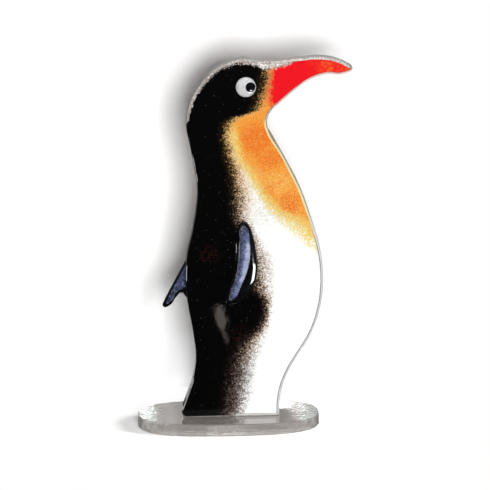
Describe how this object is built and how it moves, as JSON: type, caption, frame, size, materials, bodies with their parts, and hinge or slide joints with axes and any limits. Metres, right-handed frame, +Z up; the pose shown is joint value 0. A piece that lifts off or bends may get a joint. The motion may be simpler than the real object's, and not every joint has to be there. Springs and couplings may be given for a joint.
{
  "type": "penguin figurine",
  "caption": "Flat penguin of fused coloured glass standing upright on a clear oval glass base, with a long red beak and flippers fused on.",
  "frame": {"origin": "middle of the base plate's underside", "axes": "+Z up, +X the way the beak points, -Y the painted front"},
  "size_m": [0.104, 0.0406, 0.1858],
  "materials": {
    "clear_base": "polished, ground rim",
    "adhesive": "clear, cured",
    "clear_glass": "fire polished",
    "black_powder": "fused powder, fire polished",
    "red_powder": "fused powder, fire polished",
    "orange_powder": "fused powder, fire polished",
    "white_powder": "fused powder, fire polished",
    "flipper_glass": "fire polished",
    "inlay_glass": "fire polished, shimmering",
    "eye_glass": "fire polished",
    "pupil_glass": "fire polished"
  },
  "bodies": {
    "root": {"base_plate": "clear_base", "foot_bond": "adhesive", "clear_sheet": "clear_glass", "black_powder_field": "black_powder", "red_powder_field": "red_powder", "orange_powder_field": "orange_powder", "white_powder_field": "white_powder", "front_flipper": "flipper_glass", "front_flipper_inlay": "inlay_glass", "back_flipper": "flipper_glass", "back_flipper_inlay": "inlay_glass", "eye_bead": "eye_glass", "pupil_bead": "pupil_glass"}
  },
  "joints": []
}
